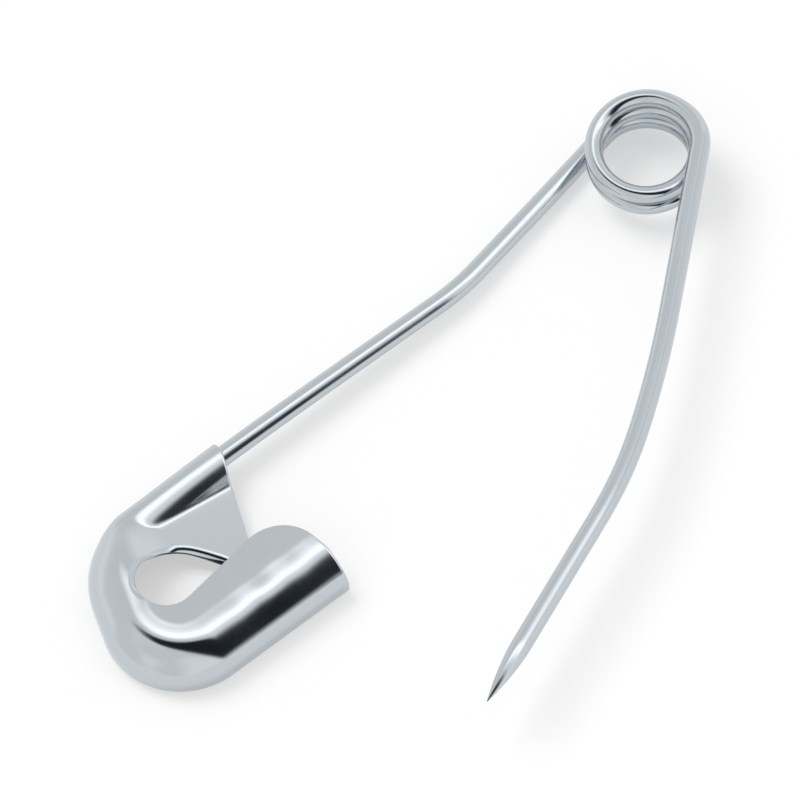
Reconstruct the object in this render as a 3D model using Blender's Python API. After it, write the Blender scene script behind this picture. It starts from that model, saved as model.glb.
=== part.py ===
"""Curved safety pin, lying on its back with the point arm sprung open.

The pin is one bent steel wire and one pressed sheet cap.
The wire is modelled in three pieces, split where it flexes:
  spine_arm    the fixed arm, gripped by the cap's sleeve
  spring_coil  the coil that springs the pin open
  pin_arm      the moving arm, ground to a point
  clasp_cap    the sheet cap: sleeve, web, window, head and guard

Frame, in metres: +Z up, with the cap's flat back on z = 0.
+X runs along the fixed arm from the cap to the coil.
The point arm lies on the -Y side of the fixed arm.
The origin is on the flat back, between the window and the guard's mouth.
"""
import math

import bmesh
import bpy
from mathutils import Vector

MM = 0.001

# Wire
WIRE_D = 2.6 * MM
COIL_WIRE_D = 2.18 * MM
FIXED_AXIS_Y = 13.0 * MM
FIXED_AXIS_Z = 3.25 * MM
ARM_SIDES_RESOLUTION = 4
TOUCH_GAP = 0.3 * MM

# Coil, wound clockwise seen from above as it climbs
COIL_MEAN_R = 6.45 * MM
COIL_LEG_R = 7.07 * MM
COIL_PITCH = 3.07 * MM
COIL_BASE_Z = 1.3 * MM
COIL_WHOLE_TURNS = 2
COIL_LEG_EASE_DEG = 75.0
COIL_CLIMB_EASE_DEG = 40.0
LOOP_POINTS = 24
COIL_SIDES_RESOLUTION = 1
COIL_LEAST_GAP = 0.4 * MM

# Fixed arm: it bends once on its way from the sleeve to the coil
SPINE_BEND_X = 43.4 * MM
SPINE_BEND_R = 33.7 * MM
SPINE_BEND_DEG = 11.5
SPINE_COIL_RUN = 28.3 * MM
SPINE_TAIL = 9.0 * MM
TAIL_R = 1.1 * MM
TAIL_SHOULDER = 0.3 * MM

# Point arm, from the coil to the point, with its angles taken from +X
PIN_COIL_DEG = 42.0
PIN_COIL_RUN = 22.6 * MM
PIN_EASE_RUN = 15.6 * MM
PIN_EASE_DEG = 6.0
PIN_BEND_RUN = 16.1 * MM
PIN_BEND_DEG = 13.2
PIN_TIP_RUN = 27.8 * MM
POINT_LENGTH = 9.0 * MM
POINT_END_R = 0.15 * MM
POINT_FULLNESS = 1.8

# Sheet and sleeve of the cap
SHEET = 0.32 * MM
SLEEVE_R = 1.72 * MM
SLEEVE_FLARE = 0.2 * MM
SLEEVE_FLARE_RUN = 15.0 * MM
SLEEVE_MOUTH_X = 5.7 * MM
SLEEVE_BACK_RAMP = 3.0 * MM
HEAD_RISE_X = -6.6 * MM
HEAD_RISE_RUN = 8.0 * MM
HEAD_MERGE_X = -9.5 * MM
HEAD_MERGE_RUN = 5.5 * MM

# Sleeve's inner side: a gentle round, a tighter one, then a ramp down to the web
CREST_END_X = -9.6 * MM
CREST_MOUTH_R = 3.6 * MM
CREST_END_R = 5.6 * MM
CREST_TILT_DEG = 20.0
RAMP_R = 3.2 * MM
RAMP_TILT_DEG = 54.0
RAMP_FOOT_Y = 10.4 * MM
RAMP_BLEND = 0.2 * MM
LEAST_RAMP = 2.6 * MM

# Steep fall that keeps the web's plane under the sleeve's outer half
WEB_END_FALL = 3.0

# Cap outline, seen from above
HEAD_CORNER_X = -16.8 * MM
HEAD_SLANT_DEG = 19.6
HEAD_TOP_R = 11.2 * MM
HEAD_LOW_R = 10.3 * MM
GUARD_EDGE_Y = -10.7 * MM
GUARD_MOUTH_X = 7.2 * MM

# Side and shoulder of the head and guard
SIDE_Z = 1.77 * MM
SIDE_R = 3.9 * MM
SIDE_SPLIT_DEG = 36.6
SHOULDER_R = 6.3 * MM
BACK_EDGE_R = 0.9 * MM
LIP_DROP = 0.3 * MM
LIP_CROWN_RUN = 5.6 * MM

# Web between the sleeve and the lip: a sloping plane with a rolled edge beside the window
WEB_Z = 3.0 * MM
WEB_SLOPE_X_DEG = 6.8
WEB_SLOPE_Y_DEG = 9.6
WEB_TIP_X = 0.0 * MM
WEB_TIP_Y = -1.2 * MM
WEB_MID_X = -5.4 * MM
WEB_MID_Y = 4.75 * MM
WEB_MID_DEG = 130.0
WEB_TIP_DEG = 150.0
WEB_LOW_SHARE = 0.4
WEB_TIP_PULL_SHARE = 0.4
WEB_PULL_SHARE = 0.42
BACK_MID_X = -3.4 * MM
BACK_MID_Y = 4.85 * MM
BACK_MID_SHARE = 0.5
BACK_PULL_SHARE = 1.0 / 3.0
ROLL_TOP_R = 1.0 * MM
ROLL_LIP_R = 1.6 * MM
ROLL_END_DEG = 52.0
ROLL_START_SHARE = 0.25
ROLL_TOP_SHARE = 0.85
EDGE_STEP = 0.6 * MM
LEAST_LEVEL = 2.8 * MM
RAMP_ROOM_SHARE = 1.15
FOOT_MOST_SHARE = 0.5
BACK_RAMP_MOST_SHARE = 0.75

# Window through the cap, and the lip's edge beside it
WINDOW_X = -10.8 * MM
WINDOW_Y = 2.9 * MM
WINDOW_R = 4.0 * MM
BACK_WINDOW_X = -9.6 * MM
BACK_WINDOW_Y = 4.6 * MM
BACK_WINDOW_R = 4.9 * MM
LIP_SLOPE_DEG = 8.3
LIP_CORNER_X = 1.2 * MM
LIP_CORNER_Y = -5.1 * MM
LIP_CORNER_R = 5.65 * MM
LIP_END_DEG = 12.0
LIP_ROUND_SHARE = 0.1
LIP_CORNER_SHARE = 0.56
WINDOW_LOW_DEG = 255.0
WINDOW_SHARES_DEG = {
    "top_corner": (90.0, 150.0),
    "end": (150.0, 190.0),
    "low_corner": (190.0, WINDOW_LOW_DEG),
}

# Seam of the back sheet, from the guard's mouth to the window
SEAM_MOUTH_X = 0.8 * MM
SEAM_MOUTH_Y = 1.0 * MM
SEAM_WINDOW_X = -1.7 * MM
SEAM_WINDOW_Y = 0.5 * MM

# How finely the cap is divided
SLEEVE_STATIONS = 12
TOP_CORNER_STATIONS = 7
END_STATIONS = 3
LOW_CORNER_STATIONS = 9
GUARD_STATIONS = 13
SEAM_STATIONS = 3
ROLL_STEPS = 3
FLAT_STEPS = 3
RAMP_STEPS = 6
SHOULDER_STEPS = 6
BACK_EDGE_STEPS = 3
BACK_RAMP_STEPS = 3

STEEL_COLOR = (0.76, 0.78, 0.80, 1.0)
STEEL_ROUGHNESS = 0.08


def smooth(share):
    """Ease from 0 to 1, level at both ends."""
    share = min(1.0, max(0.0, share))
    return share * share * (3.0 - 2.0 * share)


def mix(low, high, share):
    return low + (high - low) * share


def heading(degrees):
    return Vector((math.cos(math.radians(degrees)), math.sin(math.radians(degrees)), 0.0))


def bezier(first, second, third, fourth, share):
    back = 1.0 - share
    return (first * back ** 3 + second * (3.0 * back * back * share)
            + third * (3.0 * back * share * share) + fourth * share ** 3)


def clear_scene():
    for item in list(bpy.data.objects):
        bpy.data.objects.remove(item, do_unlink=True)


def steel(name):
    material = bpy.data.materials.new(name)
    material.use_nodes = True
    shader = material.node_tree.nodes["Principled BSDF"]
    shader.inputs["Base Color"].default_value = STEEL_COLOR
    shader.inputs["Metallic"].default_value = 1.0
    shader.inputs["Roughness"].default_value = STEEL_ROUGHNESS
    return material


def add_wire(name, points, radii, sides_resolution, pivot):
    """A round wire through the points, with its origin on its pivot."""
    curve = bpy.data.curves.new(name, "CURVE")
    curve.dimensions = "3D"
    curve.bevel_depth = WIRE_D / 2.0
    curve.bevel_resolution = sides_resolution
    curve.use_fill_caps = True
    spline = curve.splines.new("POLY")
    spline.points.add(len(points) - 1)
    spline.use_smooth = True
    for place, point, radius in zip(spline.points, points, radii):
        local = point - pivot
        place.co = (local.x, local.y, local.z, 1.0)
        place.radius = radius / curve.bevel_depth
    curve.materials.append(steel(name + "_steel"))
    wire = bpy.data.objects.new(name, curve)
    wire.location = pivot
    bpy.context.scene.collection.objects.link(wire)


# Wire route

def spine_tangent():
    """Where the fixed arm's line touches the circle of the coil's legs."""
    return Vector((SPINE_BEND_X, FIXED_AXIS_Y, 0.0)) + SPINE_COIL_RUN * heading(SPINE_BEND_DEG)


def coil_centre():
    return spine_tangent() + COIL_LEG_R * heading(SPINE_BEND_DEG - 90.0)


def coil_turn_deg():
    """Angle wound from the fixed arm round to the point arm."""
    return COIL_WHOLE_TURNS * 360.0 + (SPINE_BEND_DEG - PIN_COIL_DEG - 180.0) % 360.0


def coil_climb(turned_deg):
    """Height above the coil's base, with a level start and end."""
    total = coil_turn_deg()
    ease = COIL_CLIMB_EASE_DEG

    def eased(angle):
        if angle < ease:
            return angle * angle / (2.0 * ease)
        return angle - ease / 2.0

    if turned_deg > total - ease:
        return COIL_PITCH * (total - ease - eased(total - turned_deg)) / 360.0
    return COIL_PITCH * eased(turned_deg) / 360.0


def leg_share(turned_deg):
    """1 at either leg, easing to 0 where the wire runs on the coil's own circle."""
    nearest = min(turned_deg, coil_turn_deg() - turned_deg)
    return 1.0 - smooth(nearest / COIL_LEG_EASE_DEG)


def coil_point(turned_deg):
    radius = mix(COIL_MEAN_R, COIL_LEG_R, leg_share(turned_deg))
    flat = coil_centre() + radius * heading(SPINE_BEND_DEG + 90.0 - turned_deg)
    return Vector((flat.x, flat.y, COIL_BASE_Z + coil_climb(turned_deg)))


def coil_route():
    """The coil, with a straight stretch one wire long at each end."""
    steps = round(coil_turn_deg() / 360.0 * LOOP_POINTS)
    turned = [coil_turn_deg() * step / steps for step in range(steps + 1)]
    points = [coil_point(angle) for angle in turned]
    radii = [mix(COIL_WIRE_D, WIRE_D, leg_share(angle)) / 2.0 for angle in turned]
    start = points[0] - WIRE_D * heading(SPINE_BEND_DEG)
    end = points[-1] - WIRE_D * heading(PIN_COIL_DEG)
    return [start] + points + [end], [radii[0]] + radii + [radii[-1]], turned


def print_coil_gap(points, radii, turned):
    """Print the least gap between neighbouring loops, measured on the points."""
    loops = list(zip(points[1:-1], radii[1:-1], turned))
    least = min(
        (first - second).length - first_r - second_r
        for first, first_r, first_turn in loops
        for second, second_r, second_turn in loops
        if second_turn - first_turn > 180.0
    )
    print("spring_coil least gap to itself: %.3f mm" % (least / MM))
    if least < COIL_LEAST_GAP:
        print("spring_coil loops are closer than %.1f mm" % (COIL_LEAST_GAP / MM))


def joint_pivot():
    """The middle of the coil, where both joint axes cross."""
    centre = coil_centre()
    return Vector((centre.x, centre.y, COIL_BASE_Z + coil_climb(coil_turn_deg()) / 2.0))


def spine_route():
    """The fixed arm, from its tail in the sleeve to the coil."""
    straight_steps = 7
    bend_steps = 4
    shoulder_x = SLEEVE_MOUTH_X + TOUCH_GAP
    half_bend = SPINE_BEND_R * math.tan(math.radians(SPINE_BEND_DEG) / 2.0)
    bend_x = SPINE_BEND_X - half_bend
    bend_centre = Vector((bend_x, FIXED_AXIS_Y + SPINE_BEND_R, 0.0))
    tail = Vector((SLEEVE_MOUTH_X - SPINE_TAIL, FIXED_AXIS_Y, 0.0))
    shoulder = Vector((shoulder_x, FIXED_AXIS_Y, 0.0))
    full = Vector((shoulder_x + TAIL_SHOULDER, FIXED_AXIS_Y, 0.0))
    bend_start = Vector((bend_x, FIXED_AXIS_Y, 0.0))
    plan = [tail, shoulder]
    radii = [TAIL_R, TAIL_R]
    plan += [full.lerp(bend_start, step / straight_steps) for step in range(straight_steps)]
    plan += [bend_centre + SPINE_BEND_R * heading(SPINE_BEND_DEG * step / bend_steps - 90.0)
             for step in range(bend_steps + 1)]
    end = spine_tangent() - (WIRE_D + TOUCH_GAP) * heading(SPINE_BEND_DEG)
    bend_end = plan[-1]
    plan += [bend_end.lerp(end, step / straight_steps) for step in range(1, straight_steps + 1)]
    radii += [WIRE_D / 2.0] * (len(plan) - len(radii))
    points = []
    for place in plan:
        dropped = smooth((place.x - full.x) / (end.x - full.x))
        points.append(Vector((place.x, place.y, mix(FIXED_AXIS_Z, COIL_BASE_Z, dropped))))
    return points, radii


def pin_heading_deg(run):
    """Direction of the point arm after a run from the coil."""
    eased = min(1.0, max(0.0, (run - PIN_COIL_RUN) / PIN_EASE_RUN))
    bent = min(1.0, max(0.0, (run - PIN_COIL_RUN - PIN_EASE_RUN) / PIN_BEND_RUN))
    return PIN_COIL_DEG - PIN_EASE_DEG * eased - PIN_BEND_DEG * bent


def pin_route():
    """The point arm, walked from the coil to the point in short hops."""
    shaft_steps = 26
    point_steps = 8
    hops = 8
    length = PIN_COIL_RUN + PIN_EASE_RUN + PIN_BEND_RUN + PIN_TIP_RUN
    start = WIRE_D + TOUCH_GAP
    stops = [mix(start, length - POINT_LENGTH, step / shaft_steps) for step in range(shaft_steps + 1)]
    stops += [length - POINT_LENGTH * (1.0 - step / point_steps) ** 2 for step in range(1, point_steps + 1)]
    points = []
    radii = []
    here = coil_point(coil_turn_deg())
    run = 0.0
    for stop in stops:
        hop = (stop - run) / hops
        for count in range(hops):
            here = here - hop * heading(pin_heading_deg(run + hop * (count + 0.5)))
        run = stop
        points.append(here)
        left = min(1.0, (length - stop) / POINT_LENGTH)
        grow = 1.0 - (1.0 - left) ** POINT_FULLNESS
        radii.append(mix(POINT_END_R, WIRE_D / 2.0, grow))
    return points, radii


# Heights of the cap's outer skin, by the inset from its outline

def sleeve_r(x):
    return SLEEVE_R + SLEEVE_FLARE * (1.0 - smooth((SLEEVE_MOUTH_X - x) / SLEEVE_FLARE_RUN))


def headness(x):
    """0 along the sleeve, easing to 1 in the head."""
    return smooth((HEAD_RISE_X - x) / HEAD_RISE_RUN)


def shoulder_inset():
    split = math.radians(SIDE_SPLIT_DEG)
    return SIDE_R * (1.0 - math.cos(split)) + SHOULDER_R * math.cos(split)


def guard_top_z():
    split = math.radians(SIDE_SPLIT_DEG)
    return SIDE_Z + SIDE_R * math.sin(split) + SHOULDER_R * (1.0 - math.sin(split))


def head_front_z(inset):
    """Front of the head and guard: side, shoulder and a gently crowned top."""
    split = math.radians(SIDE_SPLIT_DEG)
    if inset < SIDE_R * (1.0 - math.cos(split)):
        return SIDE_Z + math.sqrt(SIDE_R ** 2 - (SIDE_R - inset) ** 2)
    over = shoulder_inset() - inset
    if over > 0.0:
        return guard_top_z() - SHOULDER_R + math.sqrt(SHOULDER_R ** 2 - over ** 2)
    return guard_top_z() - LIP_DROP * min(1.0, -over / LIP_CROWN_RUN) ** 2


def web_level(x, y):
    """The web's plane: it rises toward the head and falls toward its own tip."""
    return (WEB_Z - (x - WEB_MID_X) * math.tan(math.radians(WEB_SLOPE_X_DEG))
            + (y - WEB_MID_Y) * math.tan(math.radians(WEB_SLOPE_Y_DEG)))


def crest_r(x):
    """Radius of the sleeve's inner shoulder, rounder toward the head."""
    share = min(1.0, max(0.0, (SLEEVE_MOUTH_X - x) / (SLEEVE_MOUTH_X - CREST_END_X)))
    return mix(CREST_MOUTH_R, CREST_END_R, share)


def ramp_sizes(x):
    """Run and drop, past the crest, to the end of the gentle round and of the tight one."""
    soft = math.radians(CREST_TILT_DEG)
    tilt = math.radians(RAMP_TILT_DEG)
    soft_run = crest_r(x) * math.sin(soft)
    soft_drop = crest_r(x) * (1.0 - math.cos(soft))
    tight_run = soft_run + RAMP_R * (math.sin(tilt) - math.sin(soft))
    tight_drop = soft_drop + RAMP_R * (math.cos(soft) - math.cos(tilt))
    return soft_run, soft_drop, tight_run, tight_drop


def crest_z(inset, x):
    """Sleeve skin over the wire, a gentle round, a tighter one, then a ramp at one tilt."""
    radius = sleeve_r(x)
    if inset < radius:
        return FIXED_AXIS_Z + math.sqrt(max(0.0, radius ** 2 - (radius - inset) ** 2))
    soft_run, soft_drop, tight_run, tight_drop = ramp_sizes(x)
    run = inset - radius
    if run < soft_run:
        drop = crest_r(x) - math.sqrt(crest_r(x) ** 2 - run ** 2)
    elif run < tight_run:
        soft = math.radians(CREST_TILT_DEG)
        across = run - soft_run + RAMP_R * math.sin(soft)
        drop = soft_drop + RAMP_R * math.cos(soft) - math.sqrt(RAMP_R ** 2 - across ** 2)
    else:
        drop = tight_drop + (run - tight_run) * math.tan(math.radians(RAMP_TILT_DEG))
    return FIXED_AXIS_Z + radius - drop


def ramp_run(x):
    """Run, past the crest, at which the ramp meets the web."""
    tight_run, tight_drop = ramp_sizes(x)[2:]
    fall = FIXED_AXIS_Z + sleeve_r(x) - web_level(x, RAMP_FOOT_Y)
    return max(LEAST_RAMP, tight_run + (fall - tight_drop) / math.tan(math.radians(RAMP_TILT_DEG)))


def front_z(inset, x, y, in_guard):
    head = head_front_z(inset)
    if in_guard:
        return head
    crest = crest_z(inset, x)
    web = web_level(x, y) - WEB_END_FALL * max(0.0, sleeve_r(x) - inset)
    web = mix(web, head, headness(x))
    apart = crest - web
    merged = (crest + web + math.sqrt(apart ** 2 + RAMP_BLEND ** 2)) / 2.0
    return mix(merged, head, smooth((HEAD_MERGE_X - x) / HEAD_MERGE_RUN))


def back_z(inset, x, in_guard):
    """Back of the cap: it rises from z = 0 at the outline and under the sleeve."""
    headed = 0.0
    if inset < BACK_EDGE_R:
        headed = BACK_EDGE_R - math.sqrt(BACK_EDGE_R ** 2 - (BACK_EDGE_R - inset) ** 2)
    if in_guard:
        return headed
    radius = sleeve_r(x)
    sleeved = FIXED_AXIS_Z - math.sqrt(radius ** 2 - max(0.0, radius - inset) ** 2)
    sleeved = sleeved * (1.0 - smooth((inset - radius) / SLEEVE_BACK_RAMP))
    return mix(sleeved, headed, headness(x))


# Edges of the cap, each by a share along its own stretch

def outline_places():
    """Stretch, share, edge point and inward direction, from the sleeve to the guard."""
    down_deg = 270.0 - HEAD_SLANT_DEG
    slope = math.tan(math.radians(HEAD_SLANT_DEG))
    top_y = FIXED_AXIS_Y + SLEEVE_R
    top_corner = Vector((HEAD_CORNER_X, top_y, 0.0))
    low_corner = Vector((HEAD_CORNER_X - (top_y - GUARD_EDGE_Y) * slope, GUARD_EDGE_Y, 0.0))
    top_turn = down_deg - 180.0
    low_turn = 360.0 - down_deg
    top_cut = HEAD_TOP_R * math.tan(math.radians(top_turn) / 2.0)
    low_cut = HEAD_LOW_R * math.tan(math.radians(low_turn) / 2.0)
    top_start = top_corner + top_cut * heading(0.0)
    end_start = top_corner + top_cut * heading(down_deg)
    end_stop = low_corner - low_cut * heading(down_deg)
    guard_start = low_corner + low_cut * heading(0.0)
    top_centre = top_start + HEAD_TOP_R * heading(270.0)
    low_centre = guard_start + HEAD_LOW_R * heading(90.0)
    guard_stop = Vector((GUARD_MOUTH_X, GUARD_EDGE_Y, 0.0))
    places = []
    for step in range(SLEEVE_STATIONS):
        share = step / SLEEVE_STATIONS
        x = mix(SLEEVE_MOUTH_X, top_start.x, share)
        places.append(("sleeve", share, Vector((x, FIXED_AXIS_Y + sleeve_r(x), 0.0)), heading(270.0)))
    for step in range(TOP_CORNER_STATIONS):
        share = step / TOP_CORNER_STATIONS
        outward = heading(90.0 + top_turn * share)
        places.append(("top_corner", share, top_centre + HEAD_TOP_R * outward, -outward))
    for step in range(END_STATIONS):
        share = step / END_STATIONS
        places.append(("end", share, end_start.lerp(end_stop, share), heading(down_deg + 90.0)))
    for step in range(LOW_CORNER_STATIONS):
        share = step / LOW_CORNER_STATIONS
        outward = heading(down_deg - 90.0 + low_turn * share)
        places.append(("low_corner", share, low_centre + HEAD_LOW_R * outward, -outward))
    for step in range(GUARD_STATIONS + 1):
        share = step / GUARD_STATIONS
        places.append(("guard", share, guard_start.lerp(guard_stop, share), heading(90.0)))
    return places


def window_point(degrees):
    """A point on the round part of the window's edge."""
    return Vector((WINDOW_X, WINDOW_Y, 0.0)) + WINDOW_R * heading(degrees)


def back_window_point(degrees, low_share):
    """The back sheet's hole: larger at the top, and the window's own size at the lip."""
    back = Vector((BACK_WINDOW_X, BACK_WINDOW_Y, 0.0)) + BACK_WINDOW_R * heading(degrees)
    return back.lerp(window_point(degrees), low_share)


def web_mid():
    """Middle of the web's free edge."""
    return Vector((WEB_MID_X, WEB_MID_Y, 0.0))


def web_upper(middle, top, share):
    """Along a free edge, from its middle to the top of the window."""
    reach = (top - middle).length * WEB_PULL_SHARE
    return bezier(middle, middle + reach * heading(WEB_MID_DEG), top + reach * heading(0.0), top, share)


def web_edge(share):
    """The web's free edge, from its tip to the top of the window."""
    if share > WEB_LOW_SHARE:
        return web_upper(web_mid(), window_point(90.0), (share - WEB_LOW_SHARE) / (1.0 - WEB_LOW_SHARE))
    tip = Vector((WEB_TIP_X, WEB_TIP_Y, 0.0))
    reach = (web_mid() - tip).length * WEB_TIP_PULL_SHARE
    tip_pull = tip + reach * heading(WEB_TIP_DEG)
    mid_pull = web_mid() - reach * heading(WEB_MID_DEG)
    return bezier(tip, tip_pull, mid_pull, web_mid(), share / WEB_LOW_SHARE)


def lip_line(share):
    """Along the window's lower edge, from its round part to the lip's corner."""
    start = window_point(270.0 + LIP_SLOPE_DEG)
    stop = Vector((LIP_CORNER_X, LIP_CORNER_Y, 0.0)) + LIP_CORNER_R * heading(90.0 + LIP_SLOPE_DEG)
    return start.lerp(stop, share)


def lip_edge(share):
    """The lip's free edge: round the window, straight, then round its corner."""
    if share < LIP_ROUND_SHARE:
        return window_point(mix(WINDOW_LOW_DEG, 270.0 + LIP_SLOPE_DEG, share / LIP_ROUND_SHARE))
    if share < LIP_CORNER_SHARE:
        return lip_line((share - LIP_ROUND_SHARE) / (LIP_CORNER_SHARE - LIP_ROUND_SHARE))
    turned = (90.0 + LIP_SLOPE_DEG - LIP_END_DEG) * (share - LIP_CORNER_SHARE) / (1.0 - LIP_CORNER_SHARE)
    return Vector((LIP_CORNER_X, LIP_CORNER_Y, 0.0)) + LIP_CORNER_R * heading(90.0 + LIP_SLOPE_DEG - turned)


def front_edge(stretch, share):
    """Free edge of the front sheet: web, window and lip."""
    if stretch == "sleeve":
        return web_edge(share)
    if stretch == "guard":
        return lip_edge(share)
    first, last = WINDOW_SHARES_DEG[stretch]
    return window_point(mix(first, last, share))


def seam_point(share):
    """On the back sheet, from the guard's mouth to the window."""
    mouth = Vector((SEAM_MOUTH_X, SEAM_MOUTH_Y, 0.0))
    return mouth.lerp(Vector((SEAM_WINDOW_X, SEAM_WINDOW_Y, 0.0)), share)


def back_edge(stretch, share):
    """Free edge of the back sheet, which joins itself along the seam."""
    corner = seam_point(1.0)
    if stretch == "sleeve":
        seam_share = SEAM_STATIONS / SLEEVE_STATIONS
        if share < seam_share:
            return seam_point(share / seam_share)
        middle = Vector((BACK_MID_X, BACK_MID_Y, 0.0))
        if share < BACK_MID_SHARE:
            reach = (middle - corner).length * BACK_PULL_SHARE
            return bezier(corner, corner + reach * heading(WEB_MID_DEG),
                          middle - reach * heading(WEB_MID_DEG), middle,
                          (share - seam_share) / (BACK_MID_SHARE - seam_share))
        upper_share = (share - BACK_MID_SHARE) / (1.0 - BACK_MID_SHARE)
        return web_upper(middle, back_window_point(90.0, 0.0), upper_share)
    if stretch == "guard":
        seam_share = 1.0 - SEAM_STATIONS / GUARD_STATIONS
        if share > seam_share:
            return seam_point((1.0 - share) / (1.0 - seam_share))
        if share < LIP_ROUND_SHARE:
            return lip_edge(share)
        return lip_line(0.0).lerp(corner, (share - LIP_ROUND_SHARE) / (seam_share - LIP_ROUND_SHARE))
    first, last = WINDOW_SHARES_DEG[stretch]
    return back_window_point(mix(first, last, share), share if stretch == "low_corner" else 0.0)


def roll_strength(stretch, share):
    """How far the front edge is rolled: fully beside the window, and not at the web's tip or the lip."""
    if stretch == "sleeve":
        return smooth(share / ROLL_START_SHARE)
    if stretch == "top_corner":
        return 1.0
    if stretch == "end":
        return 1.0 - smooth(share)
    return 0.0


def roll_r(stretch, share):
    """The rolled edge is widest by the lip."""
    if stretch == "sleeve":
        return mix(ROLL_LIP_R, ROLL_TOP_R, smooth(share / ROLL_TOP_SHARE))
    return ROLL_TOP_R


def roll_samples(radius):
    """(flat inset, rolled inset, rolled drop) from the sheet's edge up over its roll."""
    reach = radius * math.sin(math.radians(ROLL_END_DEG))
    samples = []
    for step in range(ROLL_STEPS + 1):
        angle = math.radians(ROLL_END_DEG * (1.0 - step / ROLL_STEPS))
        flat_in = EDGE_STEP * step / ROLL_STEPS
        samples.append((flat_in, reach - radius * math.sin(angle), radius * (1.0 - math.cos(angle))))
    return samples


def section(place, edge_inward):
    """The outer skin across one station, from the front edge round to the back edge."""
    stretch, share, outer, inward = place
    in_guard = stretch in ("end", "low_corner", "guard")
    headed = 1.0 if in_guard else headness(outer.x)
    radius = sleeve_r(outer.x)
    edge = front_edge(stretch, share)
    turn_inset = mix(radius, shoulder_inset(), headed)
    turn_inset = min(turn_inset, (edge - outer).dot(inward) - LEAST_LEVEL)
    turn = outer + turn_inset * inward
    reach = (edge - turn).dot(inward)
    ramp_share = RAMP_ROOM_SHARE * ramp_run(outer.x) / reach
    foot_share = mix(min(ramp_share, FOOT_MOST_SHARE), FOOT_MOST_SHARE, headed)

    def on_front(spot):
        inset = (spot - outer).dot(inward)
        return Vector((spot.x, spot.y, front_z(inset, spot.x, spot.y, in_guard)))

    roll = roll_strength(stretch, share)
    ruling = (turn - edge).normalized()
    skin = []
    samples = roll_samples(roll_r(stretch, share))
    for flat_in, roll_in, roll_down in samples:
        spot = on_front(edge + mix(flat_in * ruling, roll_in * edge_inward, roll))
        skin.append(spot - Vector((0.0, 0.0, roll * roll_down)))
    flat_start = edge + mix(samples[-1][0] * ruling, samples[-1][1] * edge_inward, roll)
    foot = turn.lerp(edge, foot_share)
    for step in range(1, FLAT_STEPS + 1):
        skin.append(on_front(flat_start.lerp(foot, step / (FLAT_STEPS + 1.0))))
    for step in range(RAMP_STEPS):
        skin.append(on_front(foot.lerp(turn, step / RAMP_STEPS)))
    for step in range(SHOULDER_STEPS):
        angle = math.radians(90.0 * (1.0 - step / SHOULDER_STEPS))
        skin.append(on_front(outer + turn_inset * (1.0 - math.cos(angle)) * inward))
    wall_z = mix(FIXED_AXIS_Z, (SIDE_Z + BACK_EDGE_R) / 2.0, headed)
    skin.append(Vector((outer.x, outer.y, wall_z)))
    back_inset = mix(radius, BACK_EDGE_R, headed)
    for step in range(1, BACK_EDGE_STEPS + 1):
        angle = math.radians(90.0 * step / BACK_EDGE_STEPS)
        inset = back_inset * (1.0 - math.cos(angle))
        spot = outer + inset * inward
        skin.append(Vector((spot.x, spot.y, back_z(inset, spot.x, in_guard))))
    under = outer + back_inset * inward
    back = back_edge(stretch, share)
    back_reach = (back - under).dot(inward)
    ramp_end = under.lerp(back, min(BACK_RAMP_MOST_SHARE, SLEEVE_BACK_RAMP / back_reach))
    for step in range(1, BACK_RAMP_STEPS + 1):
        spot = under.lerp(ramp_end, step / BACK_RAMP_STEPS)
        skin.append(Vector((spot.x, spot.y, back_z((spot - outer).dot(inward), spot.x, in_guard))))
    skin.append(back)
    return skin


def add_cap():
    """The cap: one sheet, folded round from its front edge to its back edge."""
    places = outline_places()
    edges = [front_edge(place[0], place[1]) for place in places]
    sections = []
    for index, place in enumerate(places):
        along = edges[min(index + 1, len(edges) - 1)] - edges[max(index - 1, 0)]
        edge_inward = Vector((along.y, -along.x, 0.0)).normalized()
        if edge_inward.dot(place[3]) > 0.0:
            edge_inward = -edge_inward
        sections.append(section(place, edge_inward))
    body = bmesh.new()
    rows = [[body.verts.new(point) for point in skin] for skin in sections]
    for step in range(SEAM_STATIONS + 1):
        spare = rows[-1 - step][-1]
        rows[-1 - step][-1] = rows[step][-1]
        body.verts.remove(spare)
    for row, following in zip(rows, rows[1:]):
        for place in range(len(row) - 1):
            face = body.faces.new((row[place], row[place + 1], following[place + 1], following[place]))
            face.smooth = True
    mesh = bpy.data.meshes.new("clasp_cap")
    body.to_mesh(mesh)
    body.free()
    mesh.materials.append(steel("clasp_cap_steel"))
    cap = bpy.data.objects.new("clasp_cap", mesh)
    bpy.context.scene.collection.objects.link(cap)
    thicken = cap.modifiers.new("sheet", "SOLIDIFY")
    thicken.thickness = SHEET
    thicken.offset = -1.0
    thicken.use_even_offset = True


def main():
    clear_scene()
    pivot = joint_pivot()
    coil_points, coil_radii, turned = coil_route()
    print_coil_gap(coil_points, coil_radii, turned)
    print("coil pivot, mm: %.3f %.3f %.3f" % tuple(pivot / MM))
    add_wire("spring_coil", coil_points, coil_radii, COIL_SIDES_RESOLUTION, pivot)
    spine_points, spine_radii = spine_route()
    add_wire("spine_arm", spine_points, spine_radii, ARM_SIDES_RESOLUTION, Vector((0.0, 0.0, 0.0)))
    pin_points, pin_radii = pin_route()
    add_wire("pin_arm", pin_points, pin_radii, ARM_SIDES_RESOLUTION, pivot)
    add_cap()


main()
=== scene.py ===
"""The look of the curved safety pin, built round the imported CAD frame.

Every piece is a mesh made here, in millimetres, and scaled to metres once.
The cap is one folded sheet, and the wire is one round sweep in three pieces.
"""
import math

import bmesh
import bpy
from mathutils import Matrix, Vector


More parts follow.
